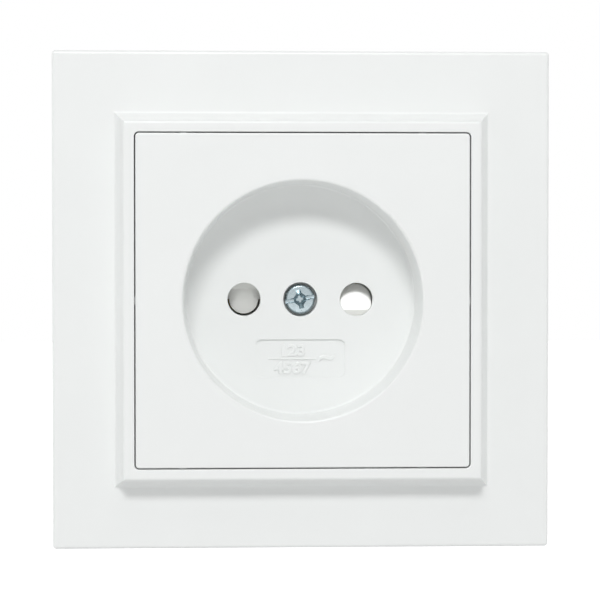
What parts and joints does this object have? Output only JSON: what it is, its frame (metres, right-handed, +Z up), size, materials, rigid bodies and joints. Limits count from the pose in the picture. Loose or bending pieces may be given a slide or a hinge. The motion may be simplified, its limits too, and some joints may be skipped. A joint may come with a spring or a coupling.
{
  "type": "flush wall socket",
  "caption": "Square flush wall socket for two round pins: framed cover with a round plug recess, sprung child-safety shutter, brass contacts, steel yoke and claws that spread in a box.",
  "frame": {"origin": "middle of the two box screw slots, in the plane of the wall", "axes": "+Z up the wall, +X to the right seen from the room, +Y into the wall"},
  "size_m": [0.0828, 0.0355, 0.0828],
  "materials": {
    "white_plastic": "gloss",
    "base_plastic": "matte",
    "zinc_steel": "blue zinc plating",
    "spring_steel": "satin",
    "brass": "bright"
  },
  "bodies": {
    "socket": {"base": "base_plastic", "centre_insert": "brass", "contact_left": "brass", "contact_right": "brass", "cover_plate": "white_plastic", "cover_screw": "zinc_steel", "grip_spring_left": "spring_steel", "grip_spring_right": "spring_steel", "outer_frame": "white_plastic", "rear_cover": "base_plastic", "rear_screws": "zinc_steel", "shutter_spring": "spring_steel", "yoke": "zinc_steel", "yoke_rivets": "brass"},
    "shutter": {"shutter": "white_plastic"},
    "claw_left": {"claw_left": "zinc_steel"},
    "claw_right": {"claw_right": "zinc_steel"},
    "claw_screw_left": {"claw_screw_left": "zinc_steel"},
    "claw_screw_right": {"claw_screw_right": "zinc_steel"},
    "terminal_left": {"clamp_plate_left": "zinc_steel", "terminal_screw_left": "zinc_steel"},
    "terminal_right": {"clamp_plate_right": "zinc_steel", "terminal_screw_right": "zinc_steel"}
  },
  "joints": [
    {"name": "shutter_turn", "type": "hinge", "parent": "socket", "child": "shutter", "pos_m": [0, 0.005, 0], "axis": [0, 1, 0], "range_deg": [0, 34], "stiffness_Nm_per_rad": 0.002, "springref_deg": -17.19, "deforming": ["shutter_spring"]},
    {"name": "claw_screw_left_turn", "type": "hinge", "parent": "socket", "child": "claw_screw_left", "pos_m": [-0.02685, 0, 0], "axis": [0, 1, 0], "range_deg": [0, 819]},
    {"name": "claw_left_swing", "type": "hinge", "parent": "socket", "child": "claw_left", "pos_m": [-0.02335, 0.004, 0], "axis": [0, 0, 1], "range_deg": [0, 18]},
    {"name": "terminal_left_clamp", "type": "slide", "parent": "socket", "child": "terminal_left", "axis": [0, 0, 1], "range_m": [0, 0.002]},
    {"name": "claw_screw_right_turn", "type": "hinge", "parent": "socket", "child": "claw_screw_right", "pos_m": [0.02685, 0, 0], "axis": [0, 1, 0], "range_deg": [0, 819]},
    {"name": "claw_right_swing", "type": "hinge", "parent": "socket", "child": "claw_right", "pos_m": [0.02335, 0.004, 0], "axis": [0, 0, -1], "range_deg": [0, 18]},
    {"name": "terminal_right_clamp", "type": "slide", "parent": "socket", "child": "terminal_right", "axis": [0, 0, 1], "range_m": [0, 0.002]}
  ],
  "couplings": [
    {"joint": "claw_left_swing", "follows": "claw_screw_left_turn", "ratio": 0.02197},
    {"joint": "claw_right_swing", "follows": "claw_screw_right_turn", "ratio": 0.02197}
  ]
}
